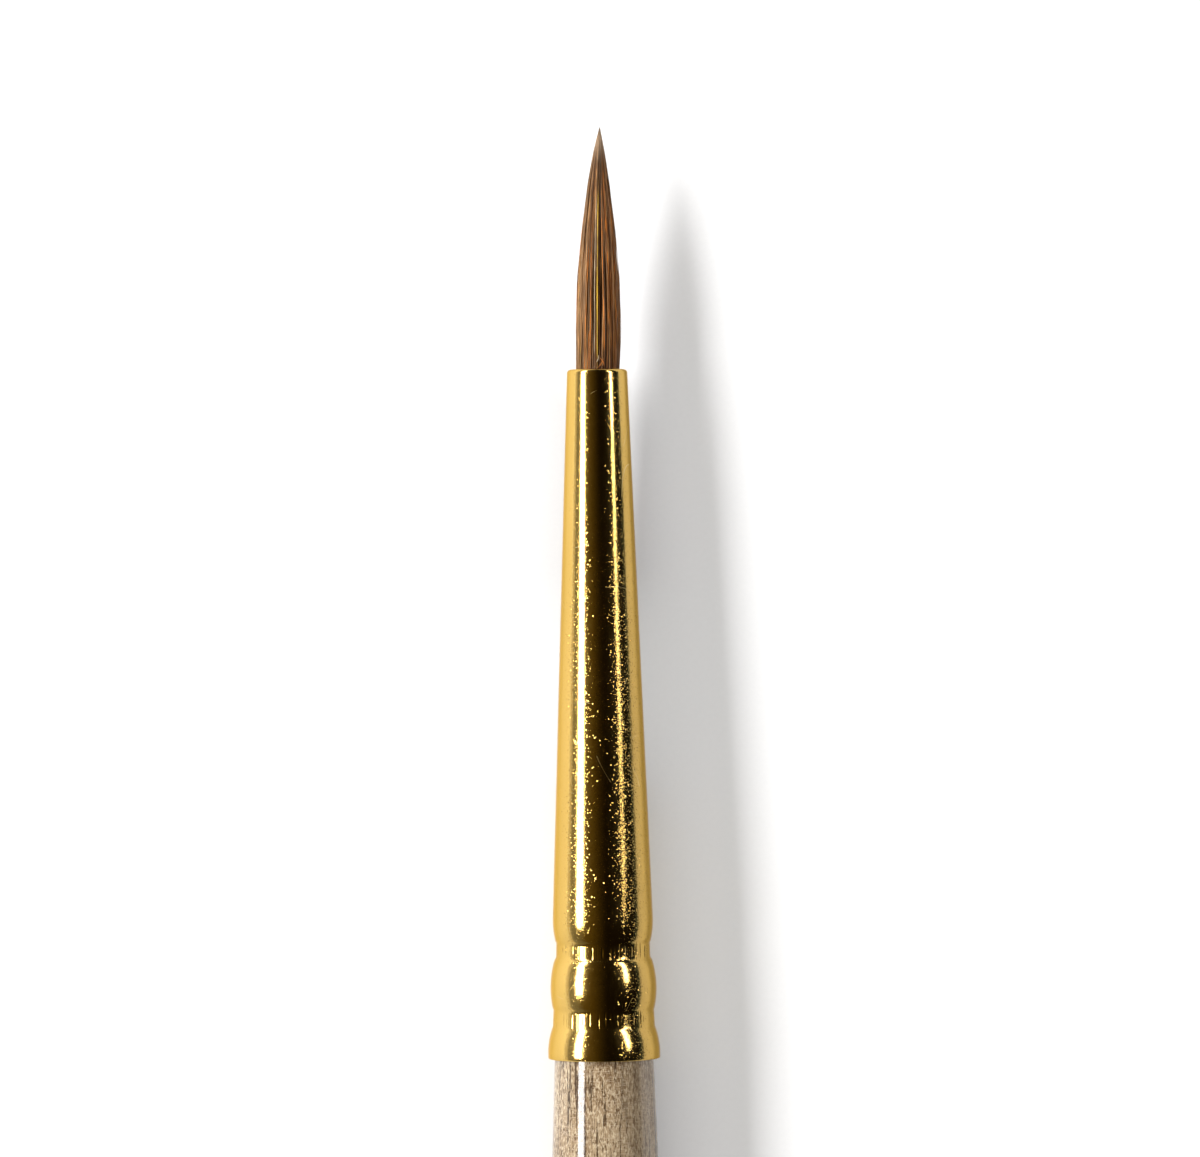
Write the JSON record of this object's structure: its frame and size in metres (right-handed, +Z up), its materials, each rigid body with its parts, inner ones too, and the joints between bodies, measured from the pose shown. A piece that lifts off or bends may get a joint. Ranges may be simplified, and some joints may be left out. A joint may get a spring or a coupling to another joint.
{
  "type": "fine detail brush",
  "caption": "Slim round brush with a fine pointed hair tuft, a tapered double-crimped brass ferrule and a lacquered wooden handle that swells and tapers; the tuft flexes.",
  "frame": {"origin": "middle of the brush's length, on the surface that it lies on, under its axis", "axes": "+Y along the brush towards the point, +Z up from the surface, +X to the right of someone who looks along +Y"},
  "size_m": [0.0054, 0.17, 0.0055],
  "materials": {
    "lacquered_wood": "pale hardwood under clear gloss lacquer",
    "gilt_brass": "polished, gold-coloured, with fine handling scratches and pits",
    "glue": "set clear adhesive",
    "cement": "set resin",
    "thread": "fine twisted thread",
    "hair": "soft animal hair, mid brown with a paler tip"
  },
  "bodies": {
    "brush": {"handle": "lacquered_wood", "ferrule": "gilt_brass", "handle_glue": "glue", "hair_cement": "cement", "tie_thread": "thread", "hair_roots": "hair"},
    "tuft": {"belly_hairs": "hair", "point_hairs": "hair"}
  },
  "joints": [
    {"name": "tuft_flex", "type": "hinge", "parent": "brush", "child": "tuft", "pos_m": [0, 0.0757, 0.00275], "axis": [0, 0, 1], "range_deg": [-40, 40], "stiffness_Nm_per_rad": 0.0004}
  ]
}
